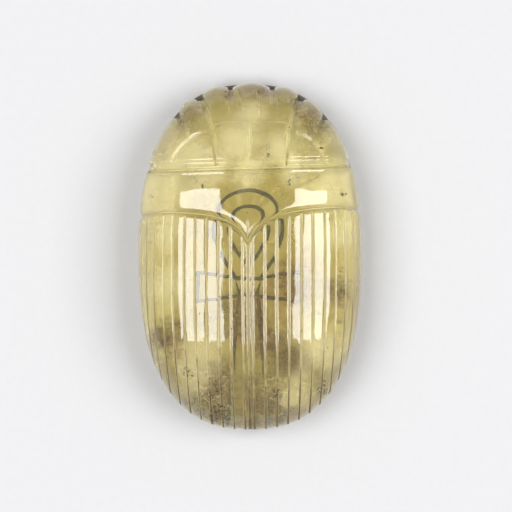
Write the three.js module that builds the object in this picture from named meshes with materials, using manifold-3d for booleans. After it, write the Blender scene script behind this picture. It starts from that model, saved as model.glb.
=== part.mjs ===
import * as THREE from "three";
import { mergeVertices } from "three/addons/utils/BufferGeometryUtils.js";
import Module from "manifold-3d";

// Scarab amulet, cut as one piece from see-through yellow-green stone.
// Millimetres, +Z up, head towards +Y. The origin is the middle of the flat underside.

// Overall sizes of the body.
const BODY_LENGTH = 37.6;
const BODY_WIDTH = 24.2;
const BACK_HEIGHT = 10.8;
const RIM_HEIGHT = 3.6;
const HEAD_RIM_HEIGHT = 2.5;
const TAIL_RIM_HEIGHT = 3.1;
const HEAD_DROP = 1.4;

// Powers of the rounded curves: the outline seen from above, and the arch of the back.
const OUTLINE_POWER = 2.45;
const ARCH_POWER = 2.4;

// The oval base plate, the hollow waist above it and the legs left standing in the waist.
const BASE_THICKNESS = 1.7;
const BASE_CHAMFER = 0.2;
const BASE_MARGIN = 0.2;
const WAIST_DEPTH = 0.8;
const WAIST_ROUND = 0.35;
const LEG_WIDTH = 2.1;
const LEG_FLANK = 0.3;
const LEG_INSET = 0.25;

// Grooves of the wing cases, measured along the curved back.
const GROOVE_PITCH = 1.3;
const FIRST_GROOVE = 0.54;
const GROOVE_HALF_WIDTH = 0.22;
const GROOVE_DEPTH = 0.17;
const SEAM_HALF_WIDTH = 0.19;
const SEAM_DEPTH = 0.24;
const SEAM_OFFSET = -0.27;
const RIM_STRIP = 0.5;

// The step between the prothorax and the wing cases, and the line behind the head.
const STEP_DEPTH = 0.45;
const STEP_FRONT_WIDTH = 1.05;
const STEP_BACK_WIDTH = 0.6;
const NECK_DEPTH = 0.32;
const NECK_HALF_WIDTH = 0.28;
const NECK_STRIP = 0.75;
const PLATE_RISE = 0.26;
const PLATE_BEVEL = 0.35;

// Carving of the head.
const FURROW_DEPTH = 0.5;
const FURROW_HALF_WIDTH = 0.45;
const CHEEK_DEPTH = 0.24;
const CHEEK_HALF_WIDTH = 0.5;
const BROW_DEPTH = 0.2;
const BROW_LIP = 0.25;
const BROW_FADE = 2.4;
const CREST_DEPTH = 0.14;
const LOBE_GROOVE_DEPTH = 0.22;
const LOBE_GROOVE_HALF_WIDTH = 0.32;
const LOBE_NOTCH = 0.52;
const CHEEK_INSET = 0.18;

// The looped cross cut in outline into the underside. The loop is a drop whose sides would meet at its
// tip, and it is open where it runs into the arms.
const SIGN_LINE = 0.32;
const SIGN_DEPTH = 0.24;
const SIGN_OFFSET = -0.17;
const LOOP_TOP = 6.6;
const LOOP_TIP = -4;
const LOOP_HALF_WIDTH = 3.3;
const DROP_TOP = 5.1;
const DROP_TIP = -1;
const DROP_HALF_WIDTH = 2;
const DROP_POWER = 0.7;
const ARM_REACH = 4.7;
const ARM_MIDDLE = -3.2;
const ARM_END_HALF_HEIGHT = 1.5;
const ARM_ROOT_HALF_HEIGHT = 0.72;
const STEM_TOP_HALF_WIDTH = 0.97;
const STEM_FOOT_HALF_WIDTH = 1.95;
const STEM_FOOT = -15.8;

// Steps of the surface grid along the body, from the tail to the front of the head.
const TAIL_ROWS = 18;
const PROTHORAX_ROWS = 4;
const FACE_ROWS = 4;
const LOBE_ROWS = 7;
const CURVE_STEPS = 14;

// Pose of the carving, as shares of the half width (u, to the right) and the half length (v, to the head).
const TAIL_CORNER_SHARE = 0.92;
const HEAD_CORNER_SHARE = 0.86;
const REAR_EDGE = { level: 0.303, dip: 0.222, dipWidth: 0.146, droop: 0.036, tilt: 0.018 };
const NECK = { level: 0.5, tilt: 0.018 };
const BROW_SHARE = 0.53;
const CREST_END = 0.74;
const CHEEKS = [
  [[-0.69, 0.55], [-0.585, 0.68], [-0.385, 0.715]],
  [[0.42, 0.7], [0.59, 0.665], [0.695, 0.53]],
];

// Lines of the head that start at a notch of its edge. Each runs in the column over one of the
// grooves, counted from the seam. A furrow bends to an end at the neck, and the others stop short.
const HEAD_LINES = [
  { notch: -27.4, groove: -6, stop: 0.79 },
  { notch: -18.5, groove: -5, bend: [-0.325, 0.82], end: [-0.305, 0.525] },
  { notch: -6.6, groove: -2, stop: 0.87 },
  { notch: 7.2, groove: 2, stop: 0.87 },
  { notch: 18.5, groove: 5, bend: [0.335, 0.82], end: [0.325, 0.525] },
  { notch: 28.2, groove: 6, stop: 0.79 },
];

// Legs, and the fade of the inset edge of the cheeks, in degrees round the outline from the head.
// Each leg slants from its joint under the back to its foot on the base plate.
const LEGS = [
  { joint: 61, foot: 49 },
  { joint: 84, foot: 96 },
  { joint: 119, foot: 133 },
];
const CHEEK_FADE = { from: 8, to: 24 };
const SIDE_STEP = 6;

const halfLength = BODY_LENGTH / 2;
const halfWidth = BODY_WIDTH / 2;
const archHeight = BACK_HEIGHT - RIM_HEIGHT;
const radians = Math.PI / 180;

const clamp01 = (t) => Math.min(1, Math.max(0, t));

function smooth(from, to, value) {
  const t = clamp01((value - from) / (to - from));
  return t * t * (3 - 2 * t);
}

// Cross-section of a cut with a rounded bottom: 1 in the middle and 0 at its half width.
const cutShape = (distance, half) => (distance < half ? (1 - (distance / half) ** 2) ** 1.5 : 0);

// How far the outline reaches at angle a, which is measured from the head's side, clockwise.
function outlineReach(a) {
  const across = Math.abs(Math.sin(a) / halfWidth) ** OUTLINE_POWER;
  const along = Math.abs(Math.cos(a) / halfLength) ** OUTLINE_POWER;
  return (across + along) ** (-1 / OUTLINE_POWER);
}

// The head's edge against the outline: five lobes with notches between them, then plain cheeks.
function rimShare(a) {
  const degrees = a / radians;
  const notches = HEAD_LINES.map((line) => line.notch);
  const lobe = notches.findIndex((n, i) => degrees >= n && degrees < notches[i + 1]);
  if (lobe >= 0) {
    const across = (degrees - notches[lobe]) / (notches[lobe + 1] - notches[lobe]);
    return 1 - (LOBE_NOTCH / halfLength) * (1 - Math.sin(Math.PI * across) ** 0.6);
  }
  const past = Math.abs(degrees) - Math.abs(degrees < 0 ? notches[0] : notches.at(-1));
  if (past > CHEEK_FADE.to) return 1;
  const inset = THREE.MathUtils.lerp(LOBE_NOTCH, CHEEK_INSET, smooth(0, 3, past));
  return 1 - (inset / halfLength) * (1 - smooth(CHEEK_FADE.from, CHEEK_FADE.to, past));
}

// Heights along the body.
function rimLevel(v) {
  const head = (RIM_HEIGHT - HEAD_RIM_HEIGHT) * smooth(0.45, 1, v);
  const tail = (RIM_HEIGHT - TAIL_RIM_HEIGHT) * smooth(0.5, 1, -v);
  return RIM_HEIGHT - head - tail;
}

const crownLevel = (v) => BACK_HEIGHT - HEAD_DROP * Math.max(0, (v - 0.2) / 0.8) ** 2;

// 0 in the middle of the back and 1 on its edge, lobes included.
function edgeShare(x, y) {
  const share = Math.hypot(x, y) / outlineReach(Math.atan2(x, y));
  return share / (1 + (rimShare(Math.atan2(x, y)) - 1) * smooth(0.6, 0.93, share));
}

function archLevel(x, y) {
  const v = y / halfLength;
  const rise = (1 - Math.min(1, edgeShare(x, y)) ** ARCH_POWER) ** (1 / ARCH_POWER);
  return rimLevel(v) + (crownLevel(v) - rimLevel(v)) * rise;
}

// Outward direction of the uncarved back, from the slope of its implicit form.
function archNormal(x, y, z) {
  const form = (px, py, pz) => {
    const v = py / halfLength;
    const lift = Math.max(0, pz - rimLevel(v)) / (crownLevel(v) - rimLevel(v));
    return edgeShare(px, py) ** ARCH_POWER + lift ** ARCH_POWER;
  };
  const e = 0.01;
  return new THREE.Vector3(
    form(x + e, y, z) - form(x - e, y, z),
    form(x, y + e, z) - form(x, y - e, z),
    form(x, y, z + e) - form(x, y, z - e),
  ).normalize();
}

// The prothorax's rear edge and the line behind the head, as y for a given x.
function rearEdge(x) {
  const u = x / halfWidth;
  const seam = Math.abs(u - SEAM_OFFSET / halfWidth);
  const dip = REAR_EDGE.dip / (1 + seam / REAR_EDGE.dipWidth);
  return halfLength * (REAR_EDGE.level - dip - REAR_EDGE.droop * u ** 8 + REAR_EDGE.tilt * u);
}

const neckLine = (x) => halfLength * (NECK.level + (NECK.tilt * x) / halfWidth);

// The brow lies at a fixed share of the way from the neck to the edge.
function browLine(x) {
  const share = Math.min(0.999, Math.abs(x) / halfWidth);
  const edge = halfLength * (1 - share ** OUTLINE_POWER) ** (1 / OUTLINE_POWER);
  return THREE.MathUtils.lerp(neckLine(x), edge, BROW_SHARE);
}

// Distance along y turned into distance square to the line.
function squareTo(line, x, y) {
  const slope = (line(x + 0.05) - line(x - 0.05)) / 0.1;
  return (y - line(x)) / Math.hypot(1, slope);
}

// A plan point from shares of the half width and half length.
const planPoint = ([u, v]) => new THREE.Vector2(u * halfWidth, v * halfLength);

const cheeks = CHEEKS.map((controls) =>
  new THREE.QuadraticBezierCurve(...controls.map(planPoint)).getPoints(CURVE_STEPS),
);

const headLines = HEAD_LINES.map((line) => {
  const a = line.notch * radians;
  const onRay = (share) => new THREE.Vector2(Math.sin(a), Math.cos(a)).multiplyScalar(outlineReach(a) * share);
  const start = onRay(1.02);
  if (!line.bend) return { ...line, run: [start, onRay(line.stop)], through: [start, onRay(0)] };
  const curve = new THREE.QuadraticBezierCurve(start, planPoint(line.bend), planPoint(line.end));
  const run = curve.getPoints(CURVE_STEPS);
  return { ...line, run, through: [...run, new THREE.Vector2(run.at(-1).x, 0)] };
});

// Where a head line lies at a given y, as x.
function lineAcross({ through }, y) {
  const next = Math.max(1, through.findIndex((p) => p.y <= y));
  const [a, b] = [through[next - 1], through[next]];
  return a.x + ((b.x - a.x) * (y - a.y)) / (b.y - a.y);
}

// Nearest distance from a plan point to a run of points, and how far along it that is.
function nearest(run, x, y) {
  const p = new THREE.Vector2(x, y);
  let best = { distance: Infinity, along: 0 };
  for (let i = 0; i + 1 < run.length; i++) {
    const edge = run[i + 1].clone().sub(run[i]);
    const t = clamp01(p.clone().sub(run[i]).dot(edge) / edge.lengthSq());
    const distance = run[i].clone().addScaledVector(edge, t).distanceTo(p);
    if (distance < best.distance) best = { distance, along: (i + t) / (run.length - 1) };
  }
  return best;
}

// Depth of the step and lines that cross the body.
function crossCarving(x, y) {
  const rear = squareTo(rearEdge, x, y);
  const width = rear > 0 ? STEP_FRONT_WIDTH : STEP_BACK_WIDTH;
  const step = STEP_DEPTH * (1 - Math.sqrt(1 - (1 - clamp01(Math.abs(rear) / width)) ** 2));
  const neck = squareTo(neckLine, x, y);
  const pastStrip = smooth(NECK_STRIP, NECK_STRIP + PLATE_BEVEL, neck);
  const strip = PLATE_RISE * smooth(-0.1, 0.1, neck) * (1 - pastStrip);
  return step + strip + NECK_DEPTH * cutShape(Math.abs(neck), NECK_HALF_WIDTH);
}

// Depth of the carving on the head.
function headCarving(x, y) {
  if (y < neckLine(x)) return 0;
  let depth = 0;
  for (const { run, bend } of headLines) {
    const near = nearest(run, x, y);
    const taper = bend ? 1 - 0.6 * smooth(0.7, 1, near.along) : 1;
    const half = taper * (bend ? FURROW_HALF_WIDTH : LOBE_GROOVE_HALF_WIDTH);
    const deepest = bend ? FURROW_DEPTH : LOBE_GROOVE_DEPTH * (1 - smooth(0.3, 1, near.along));
    depth = Math.max(depth, deepest * cutShape(near.distance, half));
  }
  for (const run of cheeks)
    depth = Math.max(depth, CHEEK_DEPTH * cutShape(nearest(run, x, y).distance, CHEEK_HALF_WIDTH));
  const [left, right] = headLines.filter((line) => line.bend).map((line) => lineAcross(line, y));
  const brow = squareTo(browLine, x, y);
  if (x > left && x < right)
    depth = Math.max(depth, BROW_DEPTH * smooth(0, BROW_LIP, brow) * (1 - smooth(BROW_LIP, BROW_FADE, brow)));
  return depth;
}

// Arc lengths along the widest cross-section, to space the grooves evenly over the curved back.
const sectionArc = [];
const SECTION_STEPS = 2000;
for (let i = 0, length = 0, last = null; i <= SECTION_STEPS; i++) {
  const angle = (i / SECTION_STEPS) * (Math.PI / 2);
  const x = halfWidth * Math.sin(angle) ** (2 / ARCH_POWER);
  const z = archHeight * Math.cos(angle) ** (2 / ARCH_POWER);
  if (last) length += Math.hypot(x - last.x, z - last.z);
  last = { x, z };
  sectionArc.push({ length, x });
}
const sectionLength = sectionArc.at(-1).length;

function offsetAtArc(length) {
  const next = Math.max(1, sectionArc.findIndex((p) => p.length >= length));
  const [a, b] = [sectionArc[next - 1], sectionArc[next]];
  return THREE.MathUtils.lerp(a.x, b.x, (length - a.length) / (b.length - a.length)) / halfWidth;
}

// Columns of the surface grid: share across the body, depth of the cut, and the number of the groove
// whose middle runs in it, counted from the seam, or 0.
function makeColumns() {
  const side = [{ s: offsetAtArc(SEAM_HALF_WIDTH), depth: 0, groove: 0 }];
  let groove = 0;
  for (let arc = FIRST_GROOVE; arc < sectionLength - GROOVE_PITCH; arc += GROOVE_PITCH) {
    groove += 1;
    side.push({ s: offsetAtArc(arc - GROOVE_HALF_WIDTH), depth: 0, groove: 0 });
    side.push({ s: offsetAtArc(arc), depth: GROOVE_DEPTH, groove });
    side.push({ s: offsetAtArc(arc + GROOVE_HALF_WIDTH), depth: 0, groove: 0 });
  }
  side.push({ s: offsetAtArc(sectionLength - RIM_STRIP), depth: 0, groove: 0 });
  side.push({ s: 1, depth: 0, groove: 0 });
  const mirrored = side.map(({ s, depth, groove: number }) => ({ s: -s, depth, groove: -number }));
  return [...mirrored.reverse(), { s: 0, depth: SEAM_DEPTH, groove: 0 }, ...side];
}

const columns = makeColumns();

// Point of the outline at a share of the half width, towards the head (+1) or the tail (-1).
function outlineEnd(share, end) {
  const y = end * halfLength * (1 - Math.abs(share) ** OUTLINE_POWER) ** (1 / OUTLINE_POWER);
  const p = new THREE.Vector2(share * halfWidth, y);
  return end > 0 ? p.multiplyScalar(rimShare(Math.atan2(p.x, p.y))) : p;
}

// A column's run over the back: t = 0 on the tail's edge and t = 1 on the head's.
function columnPoint(s, t) {
  const tail = outlineEnd(s * TAIL_CORNER_SHARE, -1);
  const head = outlineEnd(s * HEAD_CORNER_SHARE, 1);
  const side = Math.sign(s) || 1;
  const [low, high] = [outlineEnd(side * TAIL_CORNER_SHARE, -1), outlineEnd(side * HEAD_CORNER_SHARE, 1)];
  const corner = low.clone().lerp(high, t);
  const half = halfWidth * (1 - Math.abs(corner.y / halfLength) ** OUTLINE_POWER) ** (1 / OUTLINE_POWER);
  const share = corner.y > 0 ? rimShare(Math.atan2(side * half, corner.y)) : 1;
  const bulge = side * half * share - corner.x;
  const p = tail.clone().lerp(head, t);
  p.x += bulge * Math.abs(s) + SEAM_OFFSET * (1 - s * s) * Math.sin(Math.PI * t);
  return p;
}

// On the head the columns lean over, so that one of them runs along each head line. The table holds
// the share across the body where each line lies, for even steps of t.
const LEAN_STEPS = 60;
const leanTable = Array.from({ length: LEAN_STEPS + 1 }, (_, step) =>
  headLines.map((line) => {
    let [low, high] = [-1, 1];
    for (let i = 0; i < 30; i++) {
      const middle = (low + high) / 2;
      const p = columnPoint(middle, step / LEAN_STEPS);
      if (p.x < lineAcross(line, p.y)) low = middle;
      else high = middle;
    }
    return (low + high) / 2;
  }),
);
const leanFrom = [-1, ...headLines.map((line) => columns.find((c) => c.groove === line.groove).s), 1];

function leaned(s, t) {
  const step = Math.min(LEAN_STEPS - 1, Math.floor(t * LEAN_STEPS));
  const between = t * LEAN_STEPS - step;
  const mix = (low, i) => THREE.MathUtils.lerp(low, leanTable[step + 1][i], between);
  const leanTo = [-1, ...leanTable[step].map(mix), 1];
  const next = Math.max(1, leanFrom.findIndex((share) => share >= s));
  const within = (s - leanFrom[next - 1]) / (leanFrom[next] - leanFrom[next - 1]);
  return THREE.MathUtils.lerp(leanTo[next - 1], leanTo[next], within);
}

const straightPath = (s) => (t) => columnPoint(s, t);

// A column's path: straight over the wing cases, leaning over on the prothorax and the head.
function leaningPath(s) {
  const from = crossing(straightPath(s), rearEdge, STEP_FRONT_WIDTH);
  const to = crossing(straightPath(s), neckLine, -NECK_HALF_WIDTH);
  return (t) => columnPoint(THREE.MathUtils.lerp(s, leaned(s, t), smooth(from, to, t)), t);
}

// The t at which a path crosses a line given as y for x, moved by an offset square to the line.
function crossing(path, line, offset) {
  let [low, high] = [0, 1];
  for (let i = 0; i < 40; i++) {
    const middle = (low + high) / 2;
    const p = path(middle);
    if (squareTo(line, p.x, p.y) < offset) low = middle;
    else high = middle;
  }
  return (low + high) / 2;
}

// Rows of one column: even over each stretch, closer at both ends, and tight over the carved lines.
function pathRows(path) {
  const cuts = (line, offsets) => offsets.map((offset) => crossing(path, line, offset));
  const rear = cuts(rearEdge, [-1, -0.4, 0].map((share) => share * STEP_BACK_WIDTH));
  rear.push(...cuts(rearEdge, [0.4, 1].map((share) => share * STEP_FRONT_WIDTH)));
  const neck = cuts(neckLine, [-NECK_HALF_WIDTH, 0, NECK_HALF_WIDTH, NECK_STRIP, NECK_STRIP + PLATE_BEVEL]);
  const brow = cuts(browLine, [0, BROW_LIP]);
  const stretch = (from, to, count, curve) =>
    Array.from({ length: count }, (_, i) => THREE.MathUtils.lerp(from, to, curve(i / count)));
  const rows = stretch(0, rear[0], TAIL_ROWS, (share) => 1 - Math.cos((share * Math.PI) / 2));
  rows.push(...rear, ...stretch(rear.at(-1), neck[0], PROTHORAX_ROWS + 1, (share) => share).slice(1));
  rows.push(...neck, ...stretch(neck.at(-1), brow[0], FACE_ROWS + 1, (share) => share).slice(1));
  const lobes = stretch(brow.at(-1), 1, LOBE_ROWS, (share) => Math.sin((share * Math.PI) / 2));
  rows.push(...brow, ...lobes.slice(1), 1);
  return rows;
}

// Depth of the grooves along the columns: seam and grooves on the wing cases, a crest line on the face.
function columnCarving(column, x, y) {
  if (squareTo(rearEdge, x, y) < -STEP_BACK_WIDTH * 0.2) return column.depth;
  const onFace = squareTo(neckLine, x, y) > NECK_STRIP && y < CREST_END * halfLength;
  return column.s === 0 && onFace ? CREST_DEPTH : 0;
}

// The carved surface: the arch, pushed in along its own outward direction by the depth of the cuts.
function carvedPoint(column, { x, y }) {
  const arch = new THREE.Vector3(x, y, archLevel(x, y));
  const depth = columnCarving(column, x, y) + crossCarving(x, y) + headCarving(x, y);
  return arch.addScaledVector(archNormal(arch.x, arch.y, arch.z), -depth);
}

function carvedColumn(column) {
  const path = leaningPath(column.s);
  return pathRows(path).map((t) => carvedPoint(column, path(t)));
}

// Columns of the side, counter-clockwise from the tail. Each has its angle at the top and at the foot
// of the waist, and 1 where it runs along a leg's crest.
function makeSideColumns() {
  const marks = [{ top: 0, foot: 0, leg: 0 }];
  const crest = LEG_WIDTH / 2 - LEG_FLANK;
  for (const { joint, foot } of LEGS)
    for (const [across, leg] of [[-LEG_WIDTH / 2, 0], [-crest, 1], [crest, 1], [LEG_WIDTH / 2, 0]]) {
      const beside = (angle) => angle + across / (outlineReach(angle * radians) * radians);
      marks.push({ top: beside(joint), foot: beside(foot), leg });
    }
  marks.push({ top: 180, foot: 180, leg: 0 });
  const right = marks.slice(1).flatMap((mark, i) => {
    const from = marks[i];
    const steps = Math.ceil(Math.max(mark.top - from.top, mark.foot - from.foot) / SIDE_STEP);
    const between = (key, n) => THREE.MathUtils.lerp(from[key], mark[key], n / steps);
    return Array.from({ length: steps }, (_, n) => ({
      top: between("top", n + 1),
      foot: between("foot", n + 1),
      leg: between("leg", n + 1),
    }));
  });
  const left = right.slice(0, -1).map(({ top, foot, leg }) => ({ top: -top, foot: -foot, leg }));
  return [...right.reverse(), marks[0], ...left];
}

// Levels of the side under the back's edge: height for a rim, how far in, and height share in the waist.
const waistFloor = BASE_THICKNESS + 0.1;
const sideLevels = [
  { z: (rim) => rim - WAIST_ROUND, inset: WAIST_DEPTH, waist: 1 },
  { z: (rim) => (rim - WAIST_ROUND + waistFloor) / 2, inset: WAIST_DEPTH, waist: 0.5 },
  { z: () => waistFloor, inset: WAIST_DEPTH, waist: 0 },
  { z: () => BASE_THICKNESS, inset: BASE_MARGIN },
  { z: () => BASE_CHAMFER, inset: BASE_MARGIN },
  { z: () => 0, inset: BASE_MARGIN + BASE_CHAMFER },
];

function sidePoint(column, level) {
  const inWaist = level.waist !== undefined;
  const a = THREE.MathUtils.lerp(column.foot, column.top, inWaist ? level.waist : 0) * radians;
  const inset = inWaist ? THREE.MathUtils.lerp(level.inset, LEG_INSET, column.leg) : level.inset;
  const reach = outlineReach(a);
  const z = level.z(rimLevel((reach * Math.cos(a)) / halfLength));
  return new THREE.Vector3((reach - inset) * Math.sin(a), (reach - inset) * Math.cos(a), z);
}

// The strip of triangles between two rings of any number of points, both counter-clockwise.
function stitch(points, upper, lower) {
  const turned = (ring) => {
    const turns = ring.map((n) => ({ n, turn: (540 - Math.atan2(points[n].x, points[n].y) / radians) % 360 }));
    const first = turns.reduce((best, p, i) => (p.turn < turns[best].turn ? i : best), 0);
    return [...turns.slice(first), ...turns.slice(0, first)];
  };
  const [high, low] = [turned(upper), turned(lower)];
  const after = (ring, i) => ring[i % ring.length].turn + (i < ring.length ? 0 : 360);
  const faces = [];
  for (let i = 0, j = 0; i < high.length || j < low.length; ) {
    const [h, l] = [high[i % high.length].n, low[j % low.length].n];
    const alongHigh = j === low.length || (i < high.length && after(high, i + 1) < after(low, j + 1));
    if (alongHigh) faces.push(l, high[++i % high.length].n, h);
    else faces.push(l, low[++j % low.length].n, h);
  }
  return faces;
}

// The body as one closed mesh: carved back, waist with legs, base plate and flat underside.
function makeBody() {
  const grid = columns.map(carvedColumn);
  const rowCount = grid[0].length;
  const last = columns.length - 1;
  const points = grid.flat();
  const faces = [];
  const at = (i, j) => i * rowCount + j;
  for (let i = 0; i < last; i++)
    for (let j = 0; j + 1 < rowCount; j++) {
      faces.push(at(i, j), at(i + 1, j), at(i + 1, j + 1));
      faces.push(at(i, j), at(i + 1, j + 1), at(i, j + 1));
    }
  const top = rowCount - 1;
  let ring = [];
  for (let i = 0; i < last; i++) ring.push(at(i, 0));
  for (let j = 0; j < top; j++) ring.push(at(last, j));
  for (let i = last; i > 0; i--) ring.push(at(i, top));
  for (let j = top; j > 0; j--) ring.push(at(0, j));
  const sideColumns = makeSideColumns();
  sideLevels.forEach((level, k) => {
    const lower = sideColumns.map((column) => points.push(sidePoint(column, level)) - 1);
    if (k === 0) faces.push(...stitch(points, ring, lower));
    else
      lower.forEach((n, i) => {
        const next = (i + 1) % lower.length;
        const quad = [n, lower[next], ring[next], ring[i]];
        const length = (from, to) => points[quad[from]].distanceTo(points[quad[to]]);
        const turn = length(0, 2) < length(1, 3) ? [0, 1, 2, 0, 2, 3] : [0, 1, 3, 1, 2, 3];
        faces.push(...turn.map((corner) => quad[corner]));
      });
    ring = lower;
  });
  const middle = points.push(new THREE.Vector3()) - 1;
  ring.forEach((n, k) => faces.push(middle, ring[(k + 1) % ring.length], n));
  return new THREE.BufferGeometry()
    .setFromPoints(points)
    .setIndex(faces);
}

// A cutter for the sign's lines: the area between two outlines, sunk into the underside.
function areaCutter(outer, inner = []) {
  const shape = new THREE.Shape(outer);
  if (inner.length) shape.holes.push(new THREE.Path(inner));
  const cutter = new THREE.ExtrudeGeometry(shape, { depth: 2 * SIGN_DEPTH, bevelEnabled: false });
  return cutter.translate(0, 0, -SIGN_DEPTH);
}

// A run of plan points moved sideways, with its corners kept sharp.
function besideRun(run, closed, sideways) {
  const count = run.length;
  return run.map((p, i) => {
    const directions = [];
    if (closed || i > 0) directions.push(p.clone().sub(run[(i + count - 1) % count]).normalize());
    if (closed || i < count - 1) directions.push(run[(i + 1) % count].clone().sub(p).normalize());
    const along = directions[0].clone().add(directions.at(-1)).normalize();
    const move = sideways / along.dot(directions[0]);
    return new THREE.Vector2(p.x - along.y * move, p.y + along.x * move);
  });
}

// A drop with its point towards the tail. A foot above 0 leaves it open at that share of its length.
function dropRun(top, tip, half, steps, foot = 0) {
  const shape = (w) => w * Math.sqrt(1 - w);
  const end = Math.acos(2 * foot ** (1 / DROP_POWER) - 1);
  return Array.from({ length: foot > 0 ? steps + 1 : steps }, (_, i) => {
    const angle = end * (-1 + (2 * i) / steps);
    const w = ((1 + Math.cos(angle)) / 2) ** DROP_POWER;
    const x = (-Math.sign(angle) * half * shape(w)) / shape(2 / 3);
    return new THREE.Vector2(SIGN_OFFSET + x, tip + (top - tip) * w);
  });
}

function dropCutter(top, tip, half, steps) {
  const line = SIGN_LINE / 2;
  const outer = dropRun(top + line, tip - 1.5 * line, half + line, steps);
  const inner = dropRun(top - line, tip + 1.5 * line, half - line, steps);
  return areaCutter(outer, inner);
}

// A cutter along an open run of plan points.
function lineCutter(run) {
  const line = SIGN_LINE / 2;
  return areaCutter([...besideRun(run, false, -line), ...besideRun(run, false, line).reverse()]);
}

function signCutters() {
  const line = SIGN_LINE / 2;
  const point = (x, y) => new THREE.Vector2(SIGN_OFFSET + x, y);
  const arms = [
    point(-ARM_REACH, ARM_MIDDLE - ARM_END_HALF_HEIGHT),
    point(0, ARM_MIDDLE - ARM_ROOT_HALF_HEIGHT),
    point(ARM_REACH, ARM_MIDDLE - ARM_END_HALF_HEIGHT),
    point(ARM_REACH, ARM_MIDDLE + ARM_END_HALF_HEIGHT),
    point(0, ARM_MIDDLE + ARM_ROOT_HALF_HEIGHT),
    point(-ARM_REACH, ARM_MIDDLE + ARM_END_HALF_HEIGHT),
  ];
  const stem = [
    point(-STEM_TOP_HALF_WIDTH, ARM_MIDDLE - ARM_ROOT_HALF_HEIGHT),
    point(-STEM_FOOT_HALF_WIDTH, STEM_FOOT),
    point(STEM_FOOT_HALF_WIDTH, STEM_FOOT),
    point(STEM_TOP_HALF_WIDTH, ARM_MIDDLE - ARM_ROOT_HALF_HEIGHT),
  ];
  const loopFoot = (ARM_MIDDLE + ARM_ROOT_HALF_HEIGHT - LOOP_TIP) / (LOOP_TOP - LOOP_TIP);
  return [
    lineCutter(dropRun(LOOP_TOP, LOOP_TIP, LOOP_HALF_WIDTH, 28, loopFoot)),
    dropCutter(DROP_TOP, DROP_TIP, DROP_HALF_WIDTH, 20),
    areaCutter(besideRun(arms, true, -line), besideRun(arms, true, line)),
    lineCutter(stem),
  ];
}

const wasm = await Module();
wasm.setup();

function toSolid(geometry) {
  const bare = geometry.clone();
  bare.deleteAttribute("normal");
  bare.deleteAttribute("uv");
  const merged = mergeVertices(bare, 1e-4);
  return new wasm.Manifold(
    new wasm.Mesh({
      numProp: 3,
      vertProperties: new Float32Array(merged.attributes.position.array),
      triVerts: new Uint32Array(merged.index.array),
    }),
  );
}

function toGeometry(solid) {
  const mesh = solid.getMesh();
  const geometry = new THREE.BufferGeometry()
    .setAttribute("position", new THREE.BufferAttribute(new Float32Array(mesh.vertProperties), 3))
    .setIndex(new THREE.BufferAttribute(new Uint32Array(mesh.triVerts), 1));
  geometry.computeVertexNormals();
  return geometry;
}

const body = signCutters().reduce((solid, cutter) => solid.subtract(toSolid(cutter)), toSolid(makeBody()));

const stone = new THREE.MeshStandardMaterial({ color: 0xd2c48a, roughness: 0.12, metalness: 0 });
const scarab = new THREE.Mesh(toGeometry(body), stone);
scarab.name = "scarab";

const amulet = new THREE.Group();
amulet.add(scarab);

export default amulet;
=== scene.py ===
import math

import bmesh
import bpy
import numpy as np
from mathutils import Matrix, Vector
from mathutils.geometry import delaunay_2d_cdt


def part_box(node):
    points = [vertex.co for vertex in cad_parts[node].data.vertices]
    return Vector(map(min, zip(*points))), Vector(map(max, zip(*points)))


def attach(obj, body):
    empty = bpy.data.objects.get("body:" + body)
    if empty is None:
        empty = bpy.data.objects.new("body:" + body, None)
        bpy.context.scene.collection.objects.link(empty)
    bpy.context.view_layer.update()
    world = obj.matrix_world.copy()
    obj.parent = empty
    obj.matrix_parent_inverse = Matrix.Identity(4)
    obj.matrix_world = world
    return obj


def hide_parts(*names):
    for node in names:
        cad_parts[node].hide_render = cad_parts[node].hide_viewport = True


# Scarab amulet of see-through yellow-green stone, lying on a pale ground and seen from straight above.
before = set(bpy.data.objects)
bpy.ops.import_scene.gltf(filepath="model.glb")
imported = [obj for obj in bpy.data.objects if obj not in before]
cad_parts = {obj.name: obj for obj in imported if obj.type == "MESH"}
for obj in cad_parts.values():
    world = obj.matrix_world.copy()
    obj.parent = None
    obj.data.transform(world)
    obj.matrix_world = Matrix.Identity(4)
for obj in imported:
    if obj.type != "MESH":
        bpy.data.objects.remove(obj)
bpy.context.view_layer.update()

MM = 0.001

# Sizes in millimetres, from the frame.
low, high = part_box("scarab")
HALF_WIDTH = (high[0] - low[0]) / MM / 2
HALF_LENGTH = (high[1] - low[1]) / MM / 2
BACK_HEIGHT = (high[2] - low[2]) / MM

# Levels of the edge of the back, how far the head slopes down, and where these slopes start in shares of
# the half length.
RIM_HEIGHT = 3.6
HEAD_RIM_HEIGHT = 2.5
HEAD_RIM_START = 0.45
TAIL_RIM_HEIGHT = 3.1
TAIL_RIM_START = 0.5
HEAD_DROP = 1.4
HEAD_DROP_START = 0.2
OUTLINE_POWER = 2.45
ARCH_POWER = 2.4

# Base plate, waist, and legs that slant from their joints to their feet. Angles in degrees from the head.
BASE_THICKNESS = 1.7
BASE_CHAMFER = 0.2
BASE_MARGIN = 0.2
BASE_ROUND = 0.12
WAIST_DEPTH = 0.8
WAIST_ROUND = 0.35
LEGS = ({"joint": 61, "foot": 49}, {"joint": 84, "foot": 96}, {"joint": 119, "foot": 133})
LEG_WIDTH = 2.1
LEG_FLANK = 0.45
LEG_INSET = 0.25

# Grooves of the wing cases, spaced evenly along the curved back.
GROOVE_PITCH = 1.3
FIRST_GROOVE = 0.54
GROOVE_HALF_WIDTH = 0.15
GROOVE_DEPTH = 0.06
SEAM_HALF_WIDTH = 0.17
SEAM_DEPTH = 0.11
SEAM_OFFSET = -0.27

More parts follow.
